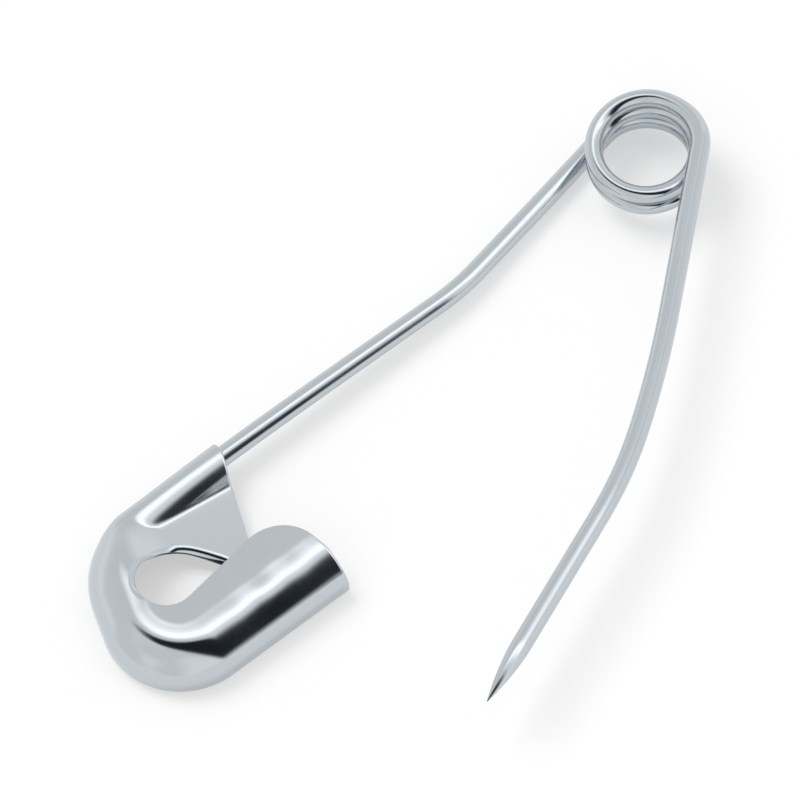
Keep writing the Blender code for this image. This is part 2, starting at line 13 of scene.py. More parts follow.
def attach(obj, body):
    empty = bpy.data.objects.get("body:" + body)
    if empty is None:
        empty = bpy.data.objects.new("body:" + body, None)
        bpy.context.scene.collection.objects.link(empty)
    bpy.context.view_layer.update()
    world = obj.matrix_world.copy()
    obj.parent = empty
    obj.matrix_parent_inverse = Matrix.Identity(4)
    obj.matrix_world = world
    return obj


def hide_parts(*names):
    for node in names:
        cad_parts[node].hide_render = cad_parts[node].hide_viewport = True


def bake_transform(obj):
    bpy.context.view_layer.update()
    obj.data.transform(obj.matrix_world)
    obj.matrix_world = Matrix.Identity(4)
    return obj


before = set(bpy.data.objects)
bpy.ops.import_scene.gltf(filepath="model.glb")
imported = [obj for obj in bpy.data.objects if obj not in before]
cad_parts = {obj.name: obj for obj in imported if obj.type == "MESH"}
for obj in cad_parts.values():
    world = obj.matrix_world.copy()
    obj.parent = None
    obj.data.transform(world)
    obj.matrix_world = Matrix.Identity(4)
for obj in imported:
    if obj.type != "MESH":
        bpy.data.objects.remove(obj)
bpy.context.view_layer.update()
scene = bpy.context.scene
MM = 0.001

# Sizes and places are in mm, and angles in degrees; the wire comes first
WIRE_D = 2.6
COIL_WIRE_D = 2.18
FIXED_AXIS_Y = 13.0
FIXED_AXIS_Z = 3.25
TOUCH_GAP = 0.3

# Coil
COIL_MEAN_R = 6.45
COIL_LEG_R = 7.07
COIL_PITCH = 3.07
COIL_BASE_Z = 1.3
COIL_WHOLE_TURNS = 2
COIL_LEG_EASE_DEG = 75.0
COIL_CLIMB_EASE_DEG = 40.0

# Fixed arm
SPINE_BEND_X = 43.4
SPINE_BEND_R = 33.7
SPINE_BEND_DEG = 11.5
SPINE_COIL_RUN = 28.3
SPINE_TAIL = 7.5
TAIL_R = 1.28
TAIL_GROW_RUN = 1.0

# Point arm
PIN_COIL_DEG = 42.0
PIN_COIL_RUN = 22.6
PIN_EASE_RUN = 15.6
PIN_EASE_DEG = 6.0
PIN_BEND_RUN = 16.1
PIN_BEND_DEG = 13.2
PIN_TIP_RUN = 27.8
POINT_LENGTH = 9.0
POINT_END_R = 0.06
POINT_FULLNESS = 1.8

# Steps along the wire and round it
WIRE_SIDES = 40
COIL_STEPS = 260
SPINE_STRAIGHT_STEPS = 48
SPINE_BEND_STEPS = 16
SPINE_END_STEPS = 36
SHAFT_STEPS = 130
POINT_STEPS = 40
ROUTE_HOPS = 4

# Sheet and sleeve
SHEET = 0.32
SLEEVE_R = 1.72
SLEEVE_FLARE = 0.2
SLEEVE_FLARE_RUN = 15.0
SLEEVE_MOUTH_X = 5.7
SLEEVE_BACK_RAMP = 3.0

# Head and guard
HEAD_RISE_X = -6.6
HEAD_RISE_RUN = 8.0
HEAD_MERGE_X = -9.5
HEAD_MERGE_RUN = 5.5
HEAD_CORNER_X = -16.8
HEAD_SLANT_DEG = 19.6
HEAD_TOP_R = 11.2
HEAD_LOW_R = 10.3
GUARD_EDGE_Y = -10.7
GUARD_MOUTH_X = 7.2
SIDE_Z = 1.77
SIDE_R = 3.9
SIDE_SPLIT_DEG = 36.6
SHOULDER_R = 6.3
BACK_EDGE_R = 0.9
LIP_DROP = 0.3
LIP_CROWN_RUN = 5.6

# Web, and the ramp that joins the sleeve to it
WEB_Z = 3.0
WEB_SLOPE_X_DEG = 6.8
WEB_SLOPE_Y_DEG = 9.6
CREST_END_X = -9.6
CREST_MOUTH_R = 3.6
CREST_END_R = 5.6
CREST_TILT_DEG = 20.0
RAMP_R = 3.2
RAMP_TILT_DEG = 54.0
RAMP_FOOT_Y = 10.4
RAMP_BLEND = 0.2
LEAST_RAMP = 2.6
WEB_END_FALL = 3.0

# Free edges of the front and back sheets beside the web
WEB_TIP_X = 0.0
WEB_TIP_Y = -1.2
WEB_MID_X = -5.4
WEB_MID_Y = 4.75
WEB_MID_DEG = 130.0
WEB_TIP_DEG = 150.0
WEB_LOW_SHARE = 0.4
WEB_TIP_PULL_SHARE = 0.4
WEB_PULL_SHARE = 0.42
BACK_MID_X = -3.4
BACK_MID_Y = 4.85
BACK_MID_SHARE = 0.5
BACK_PULL_SHARE = 1.0 / 3.0

# Rolled edge, and the least room left beside it
ROLL_TOP_R = 1.0
ROLL_LIP_R = 1.6
ROLL_END_DEG = 52.0
ROLL_START_SHARE = 0.25
ROLL_TOP_SHARE = 0.85
EDGE_STEP = 0.6
LEAST_LEVEL = 2.8
RAMP_ROOM_SHARE = 1.15
FOOT_MOST_SHARE = 0.5
BACK_RAMP_MOST_SHARE = 0.75

# Window, in the front sheet and in the back one
WINDOW_X = -10.8
WINDOW_Y = 2.9
WINDOW_R = 4.0
BACK_WINDOW_X = -9.6
BACK_WINDOW_Y = 4.6
BACK_WINDOW_R = 4.9
WINDOW_LOW_DEG = 255.0
WINDOW_DEG = {
    "top_corner": (90.0, 150.0),
    "end": (150.0, 190.0),
    "low_corner": (190.0, WINDOW_LOW_DEG),
}

# Lip of the guard, and the seam of the back sheet
LIP_SLOPE_DEG = 8.3
LIP_CORNER_X = 1.2
LIP_CORNER_Y = -5.1
LIP_CORNER_R = 5.65
LIP_END_DEG = 12.0
LIP_ROUND_SHARE = 0.1
LIP_CORNER_SHARE = 0.56
SEAM_MOUTH_X = 0.8
SEAM_MOUTH_Y = 1.0
SEAM_WINDOW_X = -1.7
SEAM_WINDOW_Y = 0.5

# Marks of the press, and the rounded edge of the sheet; a dent is x, y and depth
PRESS_DIP = 0.13
PRESS_DIP_INSET = 3.4
PRESS_DIP_RUN = 2.2
PRESS_RIDGE = 0.035
PRESS_RIDGE_INSET = 5.6
PRESS_RIDGE_RUN = 1.3
DENTS = ((-5.6, -6.0, 0.032), (-0.8, -5.2, 0.040), (4.2, -6.2, 0.028))
DENT_X_RUN = 2.1
DENT_Y_RUN = 1.9
RIM_BULGE = 0.11
RIM_STEPS = 5

# Stations round the cap, and steps across each
GUARD_STRETCHES = ("end", "low_corner", "guard")
SLEEVE_STATIONS = 72
TOP_CORNER_STATIONS = 40
END_STATIONS = 16
LOW_CORNER_STATIONS = 48
GUARD_STATIONS = 78
SEAM_STATIONS = 18
ROLL_STEPS = 12
FLAT_STEPS = 14
RAMP_STEPS = 22
SHOULDER_STEPS = 22
BACK_EDGE_STEPS = 8
BACK_RAMP_STEPS = 8

# Plate: colours, roughness, grain and the cloud of handling; a depth is in metres
CAP_COLOR = (0.545, 0.585, 0.615)
WIRE_COLOR = (0.535, 0.575, 0.605)
CAP_ROUGH = 0.10
WIRE_ROUGH = 0.12
CAP_GRAIN_SCALE = 420.0
WIRE_GRAIN_SCALE = 700.0
CAP_GRAIN_DEPTH = 0.000012
WIRE_GRAIN_DEPTH = 0.000010
GRAIN_DETAIL = 2.0
GRAIN_STRENGTH = 0.35
HANDLING_SCALE = 90.0
HANDLING_DETAIL = 3.0
HANDLING_RANGE = (0.3, 0.7)
HANDLING_ROUGH_SHARES = (0.75, 1.3)
HANDLING_DULL = (0.97, 0.975, 0.98)

# Camera: 27 degrees off straight down, rolled as in the photo; places from here on are in metres
CAMERA_TILT_DEG = 27.0
CAMERA_FROM_DEG = -122.0
CAMERA_ROLL_AZIMUTH_DEG = -83.0
CAMERA_DISTANCE = 3.0
CAMERA_SENSOR_MM = 36.0
CAMERA_CLIP_END = 20.0
VIEW_WIDTH = 0.1
AIM = Vector((0.0266, 0.0031, 0.0076))

# Floor, half plain white where it is seen, so that it stays pale and still takes shadows
FLOOR_HALF = 3.0
FLOOR_COLOR = (0.82, 0.82, 0.82, 1.0)
FLOOR_WHITE_SHARE = 0.5

# Sky: cloudy, with a bright strip and a dark flag; a pair says where a share is 0 and where it is 1
SKY_TURN_DEG = 38.98
SKY_UP = (0.0, 0.0, 1.0)
SKY_SIDE = (1.0, 0.0, 0.0)
SKY_LOW = (0.89, 0.90, 0.91)
SKY_HIGH = (1.08, 1.08, 1.08)
SKY_NOISE_SCALE = 1.1
SKY_NOISE_DETAIL = 1.0
SKY_NOISE_RANGE = (0.38, 0.62)
SHADED_PALE = (0.87, 0.87, 0.87)
SHADED_WAY = (-0.22, 0.60, 0.77)
SHADED_RANGE = (0.6, 1.0)
STRIP_GLOW = (1.85, 1.86, 1.87)
STRIP_PLANE = (0.3214, 0.9106, -0.2596)
STRIP_RANGE = (0.16, 0.02)
STRIP_HEIGHTS = (0.5, 0.85)
STRIP_SIDES = (-0.48, -0.05)
FLAG_DARK = (0.016, 0.020, 0.025)
FLAG_PLANE = (0.561, 0.7385, 0.3737)
FLAG_RANGE = (-0.18, -0.30)
FLAG_ENDS = (-0.06, 0.06)
FLAG_HEIGHTS = (0.02, 0.34)
FLAG_SIDES = (-0.72, -0.30)

# Sun
SUN_FROM_DEG = 100.0
SUN_HEIGHT_DEG = 54.0
SUN_STRENGTH = 1.6
SUN_WIDTH_DEG = 32.0


def smooth(share):
    """Ease from 0 to 1, level at both ends."""
    share = min(1.0, max(0.0, share))
    return share * share * (3.0 - 2.0 * share)


def mix(low, high, share):
    return low + (high - low) * share


def heading(degrees):
    return Vector((math.cos(math.radians(degrees)), math.sin(math.radians(degrees)), 0.0))


def bezier(first, second, third, fourth, share):
    back = 1.0 - share
    return (first * back ** 3 + second * (3.0 * back * back * share)
            + third * (3.0 * back * share * share) + fourth * share ** 3)


# Wire route, on the axes of the CAD part

def spine_tangent():
    """Where the fixed arm runs into the coil, as seen from above."""
    return Vector((SPINE_BEND_X, FIXED_AXIS_Y, 0.0)) + SPINE_COIL_RUN * heading(SPINE_BEND_DEG)


def coil_centre():
    return spine_tangent() + COIL_LEG_R * heading(SPINE_BEND_DEG - 90.0)


def coil_turn_deg():
    """The whole turns, and the part of one that faces the point arm the right way."""
    return COIL_WHOLE_TURNS * 360.0 + (SPINE_BEND_DEG - PIN_COIL_DEG - 180.0) % 360.0


def coil_climb(turned_deg):
    """Height gained after some turning, at an even pitch between eased ends."""
    total = coil_turn_deg()
    ease = COIL_CLIMB_EASE_DEG

    def eased(angle):
        if angle < ease:
            return angle * angle / (2.0 * ease)
        return angle - ease / 2.0

    if turned_deg > total - ease:
        return COIL_PITCH * (total - ease - eased(total - turned_deg)) / 360.0
    return COIL_PITCH * eased(turned_deg) / 360.0


def leg_share(turned_deg):
    """1 where the coil meets an arm, 0 along its inner turns."""
    nearest = min(turned_deg, coil_turn_deg() - turned_deg)
    return 1.0 - smooth(nearest / COIL_LEG_EASE_DEG)


def coil_point(turned_deg):
    radius = mix(COIL_MEAN_R, COIL_LEG_R, leg_share(turned_deg))
    flat = coil_centre() + radius * heading(SPINE_BEND_DEG + 90.0 - turned_deg)
    return Vector((flat.x, flat.y, COIL_BASE_Z + coil_climb(turned_deg)))


def coil_route():
    """The coil, with an end run into each arm so that no gap shows."""
    turned = [coil_turn_deg() * step / COIL_STEPS for step in range(COIL_STEPS + 1)]
    points = [coil_point(angle) for angle in turned]
    radii = [mix(COIL_WIRE_D, WIRE_D, leg_share(angle)) / 2.0 for angle in turned]
    start = points[0] - WIRE_D * heading(SPINE_BEND_DEG)
    end = points[-1] - WIRE_D * heading(PIN_COIL_DEG)
    return [start] + points + [end], [radii[0]] + radii + [radii[-1]]


def spine_route():
    """The fixed arm; it meets the coil with no gap and enters the sleeve at full size."""
    half_bend = SPINE_BEND_R * math.tan(math.radians(SPINE_BEND_DEG) / 2.0)
    bend_x = SPINE_BEND_X - half_bend
    bend_centre = Vector((bend_x, FIXED_AXIS_Y + SPINE_BEND_R, 0.0))
    bend_start = Vector((bend_x, FIXED_AXIS_Y, 0.0))
    tail = Vector((SLEEVE_MOUTH_X - SPINE_TAIL, FIXED_AXIS_Y, 0.0))
    mouth_x = SLEEVE_MOUTH_X + TOUCH_GAP
    plan = [tail.lerp(bend_start, step / SPINE_STRAIGHT_STEPS) for step in range(SPINE_STRAIGHT_STEPS)]
    for step in range(SPINE_BEND_STEPS + 1):
        bent_deg = SPINE_BEND_DEG * step / SPINE_BEND_STEPS
        plan.append(bend_centre + SPINE_BEND_R * heading(bent_deg - 90.0))
    end = spine_tangent() - WIRE_D * heading(SPINE_BEND_DEG)
    bend_end = plan[-1]
    plan += [bend_end.lerp(end, step / SPINE_END_STEPS) for step in range(1, SPINE_END_STEPS + 1)]
    points = []
    for place in plan:
        dropped = smooth((place.x - mouth_x) / (end.x - mouth_x))
        points.append(Vector((place.x, place.y, mix(FIXED_AXIS_Z, COIL_BASE_Z, dropped))))
    radii = [mix(TAIL_R, WIRE_D / 2.0, smooth((place.x - tail.x) / TAIL_GROW_RUN)) for place in plan]
    return points, radii


def pin_heading_deg(run):
    """Way back to the coil: straight, a slight bend, a firmer one, and straight again."""
    eased = min(1.0, max(0.0, (run - PIN_COIL_RUN) / PIN_EASE_RUN))
    bend_share = min(1.0, max(0.0, (run - PIN_COIL_RUN - PIN_EASE_RUN) / PIN_BEND_RUN))
    bent = (smooth(bend_share) + bend_share) / 2.0
    return PIN_COIL_DEG - PIN_EASE_DEG * eased - PIN_BEND_DEG * bent


def pin_route():
    """The point arm, from the coil to its tip, with finer steps toward the tip."""
    length = PIN_COIL_RUN + PIN_EASE_RUN + PIN_BEND_RUN + PIN_TIP_RUN
    shaft_end = length - POINT_LENGTH
    stops = [mix(WIRE_D, shaft_end, step / SHAFT_STEPS) for step in range(SHAFT_STEPS + 1)]
    stops += [length - POINT_LENGTH * (1.0 - step / POINT_STEPS) ** 2 for step in range(1, POINT_STEPS + 1)]
    points = []
    radii = []
    here = coil_point(coil_turn_deg())
    run = 0.0
    for stop in stops:
        hop = (stop - run) / ROUTE_HOPS
        for count in range(ROUTE_HOPS):
            here = here - hop * heading(pin_heading_deg(run + hop * (count + 0.5)))
        run = stop
        points.append(here)
        left = min(1.0, (length - stop) / POINT_LENGTH)
        grow = 1.0 - (1.0 - left) ** POINT_FULLNESS
        radii.append(mix(POINT_END_R, WIRE_D / 2.0, grow))
    return points, radii


# Heights of the cap's outer skin, as in the CAD part, with shallow marks and dents added

def sleeve_r(x):
    """The sleeve's outer radius, a little wider at its mouth."""
    return SLEEVE_R + SLEEVE_FLARE * (1.0 - smooth((SLEEVE_MOUTH_X - x) / SLEEVE_FLARE_RUN))


def headness(x):
    """0 along the sleeve and 1 at the head."""
    return smooth((HEAD_RISE_X - x) / HEAD_RISE_RUN)


def shoulder_inset():
    """How far in from the outline the shoulder's two rounds end."""
    split = math.radians(SIDE_SPLIT_DEG)
    return SIDE_R * (1.0 - math.cos(split)) + SHOULDER_R * math.cos(split)


def guard_top_z():
    split = math.radians(SIDE_SPLIT_DEG)
    return SIDE_Z + SIDE_R * math.sin(split) + SHOULDER_R * (1.0 - math.sin(split))


def head_front_z(inset):
    """Height of the head and guard: two rounds up the shoulder, then a slow fall to the lip."""
    split = math.radians(SIDE_SPLIT_DEG)
    if inset < SIDE_R * (1.0 - math.cos(split)):
        return SIDE_Z + math.sqrt(max(0.0, SIDE_R ** 2 - (SIDE_R - inset) ** 2))
    over = shoulder_inset() - inset
    if over > 0.0:
        return guard_top_z() - SHOULDER_R + math.sqrt(SHOULDER_R ** 2 - over ** 2)
    return guard_top_z() - LIP_DROP * min(1.0, -over / LIP_CROWN_RUN) ** 2


def press_mark(inset):
    """Shallow marks left by pressing: a dip behind the shoulder, and a low ridge beside it."""
    ridge = PRESS_RIDGE * smooth((inset - PRESS_RIDGE_INSET) / PRESS_RIDGE_RUN)
    return ridge - PRESS_DIP * smooth((inset - PRESS_DIP_INSET) / PRESS_DIP_RUN)


def dent_mark(x, y):
    """Shallow dents left along the guard by pressing."""
    return -sum(depth * math.exp(-((x - dent_x) / DENT_X_RUN) ** 2 - ((y - dent_y) / DENT_Y_RUN) ** 2)
                for dent_x, dent_y, depth in DENTS)


def web_level(x, y):
    """The web's plane: it rises toward the head and falls toward its own tip."""
    return (WEB_Z - (x - WEB_MID_X) * math.tan(math.radians(WEB_SLOPE_X_DEG))
            + (y - WEB_MID_Y) * math.tan(math.radians(WEB_SLOPE_Y_DEG)))


def crest_r(x):
    """Radius of the sleeve's inner shoulder, rounder toward the head."""
    share = min(1.0, max(0.0, (SLEEVE_MOUTH_X - x) / (SLEEVE_MOUTH_X - CREST_END_X)))
    return mix(CREST_MOUTH_R, CREST_END_R, share)


def ramp_sizes(x):
    """Run and drop, past the crest, to the end of the gentle round and of the tight one."""
    soft = math.radians(CREST_TILT_DEG)
    tilt = math.radians(RAMP_TILT_DEG)
    soft_run = crest_r(x) * math.sin(soft)
    soft_drop = crest_r(x) * (1.0 - math.cos(soft))
    tight_run = soft_run + RAMP_R * (math.sin(tilt) - math.sin(soft))
    tight_drop = soft_drop + RAMP_R * (math.cos(soft) - math.cos(tilt))
    return soft_run, soft_drop, tight_run, tight_drop


def crest_z(inset, x):
    """Sleeve skin over the wire, a gentle round, a tighter one, then a ramp at one tilt."""
    radius = sleeve_r(x)
    if inset < radius:
        return FIXED_AXIS_Z + math.sqrt(max(0.0, radius ** 2 - (radius - inset) ** 2))
    soft_run, soft_drop, tight_run, tight_drop = ramp_sizes(x)
    run = inset - radius
    if run < soft_run:
        drop = crest_r(x) - math.sqrt(crest_r(x) ** 2 - run ** 2)
    elif run < tight_run:
        soft = math.radians(CREST_TILT_DEG)
        across = run - soft_run + RAMP_R * math.sin(soft)
        drop = soft_drop + RAMP_R * math.cos(soft) - math.sqrt(RAMP_R ** 2 - across ** 2)
    else:
        drop = tight_drop + (run - tight_run) * math.tan(math.radians(RAMP_TILT_DEG))
    return FIXED_AXIS_Z + radius - drop


def ramp_run(x):
    """Run, past the crest, at which the ramp meets the web."""
    tight_run, tight_drop = ramp_sizes(x)[2:]
    fall = FIXED_AXIS_Z + sleeve_r(x) - web_level(x, RAMP_FOOT_Y)
    return max(LEAST_RAMP, tight_run + (fall - tight_drop) / math.tan(math.radians(RAMP_TILT_DEG)))


def front_z(inset, x, y, in_guard):
    """Height of the front skin; the web's plane falls steeply under the sleeve's outer half."""
    head = head_front_z(inset) + press_mark(inset)
    if in_guard:
        return head + dent_mark(x, y)
    crest = crest_z(inset, x)
    web = web_level(x, y) - WEB_END_FALL * max(0.0, sleeve_r(x) - inset)
    web = mix(web, head, headness(x))
    apart = crest - web
    merged = (crest + web + math.sqrt(apart ** 2 + RAMP_BLEND ** 2)) / 2.0
    return mix(merged, head, smooth((HEAD_MERGE_X - x) / HEAD_MERGE_RUN))


def back_z(inset, x, in_guard):
    """Height of the back skin: a rounded edge and a flat back, or the wire's underside."""
    headed = 0.0
    if inset < BACK_EDGE_R:
        headed = BACK_EDGE_R - math.sqrt(max(0.0, BACK_EDGE_R ** 2 - (BACK_EDGE_R - inset) ** 2))
    if in_guard:
        return headed
    radius = sleeve_r(x)
    sleeved = FIXED_AXIS_Z - math.sqrt(max(0.0, radius ** 2 - max(0.0, radius - inset) ** 2))
    sleeved = sleeved * (1.0 - smooth((inset - radius) / SLEEVE_BACK_RAMP))
    return mix(sleeved, headed, headness(x))


def outline_places():
    """Stretch, share, edge point and inward direction, from the sleeve to the guard."""
    down_deg = 270.0 - HEAD_SLANT_DEG
    slope = math.tan(math.radians(HEAD_SLANT_DEG))
    top_y = FIXED_AXIS_Y + SLEEVE_R
    top_corner = Vector((HEAD_CORNER_X, top_y, 0.0))
    low_corner = Vector((HEAD_CORNER_X - (top_y - GUARD_EDGE_Y) * slope, GUARD_EDGE_Y, 0.0))
    top_turn = down_deg - 180.0
    low_turn = 360.0 - down_deg
    top_cut = HEAD_TOP_R * math.tan(math.radians(top_turn) / 2.0)
    low_cut = HEAD_LOW_R * math.tan(math.radians(low_turn) / 2.0)
    top_start = top_corner + top_cut * heading(0.0)
    end_start = top_corner + top_cut * heading(down_deg)
    end_stop = low_corner - low_cut * heading(down_deg)
    guard_start = low_corner + low_cut * heading(0.0)
    top_centre = top_start + HEAD_TOP_R * heading(270.0)
    low_centre = guard_start + HEAD_LOW_R * heading(90.0)
    guard_stop = Vector((GUARD_MOUTH_X, GUARD_EDGE_Y, 0.0))
    places = []
    for step in range(SLEEVE_STATIONS):
        share = step / SLEEVE_STATIONS
        x = mix(SLEEVE_MOUTH_X, top_start.x, share)
        places.append(("sleeve", share, Vector((x, FIXED_AXIS_Y + sleeve_r(x), 0.0)), heading(270.0)))
    for step in range(TOP_CORNER_STATIONS):
        share = step / TOP_CORNER_STATIONS
        outward = heading(90.0 + top_turn * share)
        places.append(("top_corner", share, top_centre + HEAD_TOP_R * outward, -outward))
    for step in range(END_STATIONS):
        share = step / END_STATIONS
        places.append(("end", share, end_start.lerp(end_stop, share), heading(down_deg + 90.0)))
    for step in range(LOW_CORNER_STATIONS):
        share = step / LOW_CORNER_STATIONS
        outward = heading(down_deg - 90.0 + low_turn * share)
        places.append(("low_corner", share, low_centre + HEAD_LOW_R * outward, -outward))
    for step in range(GUARD_STATIONS + 1):
        share = step / GUARD_STATIONS
        places.append(("guard", share, guard_start.lerp(guard_stop, share), heading(90.0)))
    return places


def window_point(degrees):
    return Vector((WINDOW_X, WINDOW_Y, 0.0)) + WINDOW_R * heading(degrees)


def back_window_point(degrees, low_share):
    """The back sheet's hole: larger at the top, and the window's own size at the lip."""
    back = Vector((BACK_WINDOW_X, BACK_WINDOW_Y, 0.0)) + BACK_WINDOW_R * heading(degrees)
    return back.lerp(window_point(degrees), low_share)


def web_mid():
    """Middle of the web's free edge."""
    return Vector((WEB_MID_X, WEB_MID_Y, 0.0))


def web_upper(middle, top, share):
    """Along a free edge, from its middle to the top of the window."""
    reach = (top - middle).length * WEB_PULL_SHARE
    return bezier(middle, middle + reach * heading(WEB_MID_DEG), top + reach * heading(0.0), top, share)


def web_edge(share):
    """The web's free edge, from its tip to the top of the window."""
    if share > WEB_LOW_SHARE:
        return web_upper(web_mid(), window_point(90.0), (share - WEB_LOW_SHARE) / (1.0 - WEB_LOW_SHARE))
    tip = Vector((WEB_TIP_X, WEB_TIP_Y, 0.0))
    reach = (web_mid() - tip).length * WEB_TIP_PULL_SHARE
    tip_pull = tip + reach * heading(WEB_TIP_DEG)
    mid_pull = web_mid() - reach * heading(WEB_MID_DEG)
    return bezier(tip, tip_pull, mid_pull, web_mid(), share / WEB_LOW_SHARE)


def lip_line(share):
    """The straight part of the lip."""
    start = window_point(270.0 + LIP_SLOPE_DEG)
    stop = Vector((LIP_CORNER_X, LIP_CORNER_Y, 0.0)) + LIP_CORNER_R * heading(90.0 + LIP_SLOPE_DEG)
    return start.lerp(stop, share)


def lip_edge(share):
    """The lip, from the window's low end, along its straight, and round to the mouth."""
    if share < LIP_ROUND_SHARE:
        return window_point(mix(WINDOW_LOW_DEG, 270.0 + LIP_SLOPE_DEG, share / LIP_ROUND_SHARE))
    if share < LIP_CORNER_SHARE:
        return lip_line((share - LIP_ROUND_SHARE) / (LIP_CORNER_SHARE - LIP_ROUND_SHARE))
    turned = (90.0 + LIP_SLOPE_DEG - LIP_END_DEG) * (share - LIP_CORNER_SHARE) / (1.0 - LIP_CORNER_SHARE)
    return Vector((LIP_CORNER_X, LIP_CORNER_Y, 0.0)) + LIP_CORNER_R * heading(90.0 + LIP_SLOPE_DEG - turned)


def front_edge(stretch, share):
    """Free edge of the front sheet: web, window and lip."""
    if stretch == "sleeve":
        return web_edge(share)
    if stretch == "guard":
        return lip_edge(share)
    first, last = WINDOW_DEG[stretch]
    return window_point(mix(first, last, share))


def seam_point(share):
    """Along the seam, from the mouth toward the window."""
    mouth = Vector((SEAM_MOUTH_X, SEAM_MOUTH_Y, 0.0))
    return mouth.lerp(Vector((SEAM_WINDOW_X, SEAM_WINDOW_Y, 0.0)), share)


def back_edge(stretch, share):
    """Free edge of the back sheet, which joins itself along the seam."""
    corner = seam_point(1.0)
    if stretch == "sleeve":
        seam_share = SEAM_STATIONS / SLEEVE_STATIONS
        if share < seam_share:
            return seam_point(share / seam_share)
        middle = Vector((BACK_MID_X, BACK_MID_Y, 0.0))
        if share < BACK_MID_SHARE:
            reach = (middle - corner).length * BACK_PULL_SHARE
            return bezier(corner, corner + reach * heading(WEB_MID_DEG),
                          middle - reach * heading(WEB_MID_DEG), middle,
                          (share - seam_share) / (BACK_MID_SHARE - seam_share))
        upper_share = (share - BACK_MID_SHARE) / (1.0 - BACK_MID_SHARE)
        return web_upper(middle, back_window_point(90.0, 0.0), upper_share)
    if stretch == "guard":
        seam_share = 1.0 - SEAM_STATIONS / GUARD_STATIONS
        if share > seam_share:
            return seam_point((1.0 - share) / (1.0 - seam_share))
        if share < LIP_ROUND_SHARE:
            return lip_edge(share)
        return lip_line(0.0).lerp(corner, (share - LIP_ROUND_SHARE) / (seam_share - LIP_ROUND_SHARE))
    first, last = WINDOW_DEG[stretch]
    return back_window_point(mix(first, last, share), share if stretch == "low_corner" else 0.0)


def roll_strength(stretch, share):
    """How far the front edge is rolled: fully beside the window, and not at the web's tip or the lip."""
    if stretch == "sleeve":
        return smooth(share / ROLL_START_SHARE)
    if stretch == "top_corner":
        return 1.0
    if stretch == "end":
        return 1.0 - smooth(share)
    return 0.0


def roll_r(stretch, share):
    """The rolled edge is widest by the lip."""
    if stretch == "sleeve":
        return mix(ROLL_LIP_R, ROLL_TOP_R, smooth(share / ROLL_TOP_SHARE))
    return ROLL_TOP_R


def roll_samples(radius):
    """(flat inset, rolled inset, rolled drop) from the sheet's edge up over its roll."""
    reach = radius * math.sin(math.radians(ROLL_END_DEG))
    samples = []
    for step in range(ROLL_STEPS + 1):
        angle = math.radians(ROLL_END_DEG * (1.0 - step / ROLL_STEPS))
        flat_in = EDGE_STEP * step / ROLL_STEPS
        samples.append((flat_in, reach - radius * math.sin(angle), radius * (1.0 - math.cos(angle))))
    return samples


def front_skin(place, edge_inward, in_guard, headed):
    """The front skin at one station, from its free edge out over the shoulder."""
    stretch, share, outer, inward = place
    edge = front_edge(stretch, share)
    turn_inset = mix(sleeve_r(outer.x), shoulder_inset(), headed)
    turn_inset = min(turn_inset, (edge - outer).dot(inward) - LEAST_LEVEL)
    turn = outer + turn_inset * inward
    ramp_share = RAMP_ROOM_SHARE * ramp_run(outer.x) / (edge - turn).dot(inward)
    foot = turn.lerp(edge, mix(min(ramp_share, FOOT_MOST_SHARE), FOOT_MOST_SHARE, headed))

    def lifted(spot):
        inset = (spot - outer).dot(inward)
        return Vector((spot.x, spot.y, front_z(inset, spot.x, spot.y, in_guard)))

    roll = roll_strength(stretch, share)
    ruling = (turn - edge).normalized()
    skin = []
    for flat_in, roll_in, roll_down in roll_samples(roll_r(stretch, share)):
        roll_end = edge + mix(flat_in * ruling, roll_in * edge_inward, roll)
        skin.append(lifted(roll_end) - Vector((0.0, 0.0, roll * roll_down)))
    for step in range(1, FLAT_STEPS + 1):
        skin.append(lifted(roll_end.lerp(foot, step / (FLAT_STEPS + 1))))
    for step in range(RAMP_STEPS):
        skin.append(lifted(foot.lerp(turn, step / RAMP_STEPS)))
    for step in range(SHOULDER_STEPS):
        angle = math.radians(90.0 * (1.0 - step / SHOULDER_STEPS))
        skin.append(lifted(outer + turn_inset * (1.0 - math.cos(angle)) * inward))
    return skin


def back_skin(place, in_guard, headed):
    """The back skin at one station, from the middle of the wall in to its free edge."""
    stretch, share, outer, inward = place
    skin = [Vector((outer.x, outer.y, mix(FIXED_AXIS_Z, (SIDE_Z + BACK_EDGE_R) / 2.0, headed)))]
    back_inset = mix(sleeve_r(outer.x), BACK_EDGE_R, headed)
    for step in range(1, BACK_EDGE_STEPS + 1):
        angle = math.radians(90.0 * step / BACK_EDGE_STEPS)
        inset = back_inset * (1.0 - math.cos(angle))
        spot = outer + inset * inward
        skin.append(Vector((spot.x, spot.y, back_z(inset, spot.x, in_guard))))
    under = outer + back_inset * inward
    back = back_edge(stretch, share)
    back_reach = (back - under).dot(inward)
    ramp_end = under.lerp(back, min(BACK_RAMP_MOST_SHARE, SLEEVE_BACK_RAMP / back_reach))
    for step in range(1, BACK_RAMP_STEPS + 1):
        spot = under.lerp(ramp_end, step / BACK_RAMP_STEPS)
        inset = (spot - outer).dot(inward)
        skin.append(Vector((spot.x, spot.y, back_z(inset, spot.x, in_guard))))
    skin.append(back)
    return skin


def section(place, edge_inward):
    """The outer skin across one station, from the front edge round to the back edge."""
    stretch, _, outer, _ = place
    in_guard = stretch in GUARD_STRETCHES
    headed = 1.0 if in_guard else headness(outer.x)
    return front_skin(place, edge_inward, in_guard, headed) + back_skin(place, in_guard, headed)


